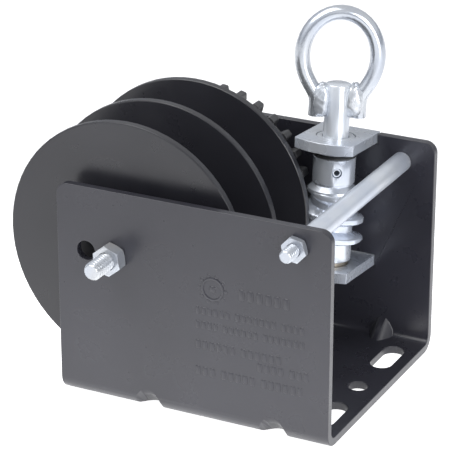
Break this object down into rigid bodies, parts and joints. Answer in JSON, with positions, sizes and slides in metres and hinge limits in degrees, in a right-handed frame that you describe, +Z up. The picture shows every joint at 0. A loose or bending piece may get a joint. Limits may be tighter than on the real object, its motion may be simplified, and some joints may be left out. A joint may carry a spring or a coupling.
{
  "type": "worm gear hand winch",
  "caption": "Hand winch with a worm gear: a divided drum in a bent steel frame, driven through a ring eye on an upright worm shaft.",
  "frame": {"origin": "middle of the base plate's underside", "axes": "+Z up; +X along the two side plates, towards the worm; +Y from the front plate to the rear plate, which carries the worm"},
  "size_m": [0.2509, 0.2197, 0.2556],
  "materials": {
    "frame_paint": "charcoal powder coat, satin, on bent steel plate",
    "drum_paint": "charcoal powder coat, satin, on flat steel discs",
    "wheel_steel": "dark grey coat, matt, on a toothed steel wheel",
    "zinc_plate": "bright zinc plating on cut plate",
    "zinc_turned": "bright zinc plating on turned steel",
    "zinc_bar": "bright zinc plating on bent round bar",
    "zinc_rod": "satin zinc plating on drawn tube",
    "zinc_fastener": "zinc plating on bolts and nuts",
    "bronze": "oiled sintered bronze",
    "black_rubber": "black rubber and nylon, matt"
  },
  "bodies": {
    "frame": {"frame": "frame_paint", "upper_ear": "zinc_plate", "lower_ear": "zinc_plate", "upper_bushing": "zinc_plate", "lower_bushing": "bronze", "thrust_washer": "black_rubber", "axle_bolt": "zinc_fastener", "axle_nut": "zinc_fastener", "rod_bolt": "zinc_fastener", "rod_nut": "zinc_fastener", "spacer_rod": "zinc_rod"},
    "drum": {"front_flange": "drum_paint", "middle_flange": "drum_paint", "rear_flange": "drum_paint", "front_core": "drum_paint", "rear_core": "drum_paint", "axle_tube": "zinc_fastener", "front_axle_bushing": "bronze", "rear_axle_bushing": "bronze", "wheel_hub": "wheel_steel", "wheel_spacer": "zinc_fastener", "worm_wheel": "wheel_steel", "front_anchor_screw": "zinc_fastener", "front_anchor_nut": "zinc_fastener", "rear_anchor_screw": "zinc_fastener", "rear_anchor_nut": "zinc_fastener"},
    "worm": {"worm": "zinc_turned", "worm_shaft": "zinc_turned", "roll_pin": "zinc_turned", "retaining_ring": "zinc_turned", "ring_eye": "zinc_bar", "upper_washer": "zinc_plate", "seal_ring": "black_rubber", "lower_washer": "bronze"}
  },
  "joints": [
    {"name": "worm_spin", "type": "hinge", "parent": "frame", "child": "worm", "pos_m": [0.0355, 0.0586, 0.11], "axis": [0, 0.0872, 0.9962], "continuous": true},
    {"name": "drum_spin", "type": "hinge", "parent": "frame", "child": "drum", "pos_m": [-0.0589, 0, 0.11], "axis": [0, 1, 0], "continuous": true}
  ],
  "couplings": [
    {"joint": "drum_spin", "follows": "worm_spin", "ratio": -0.03125}
  ]
}
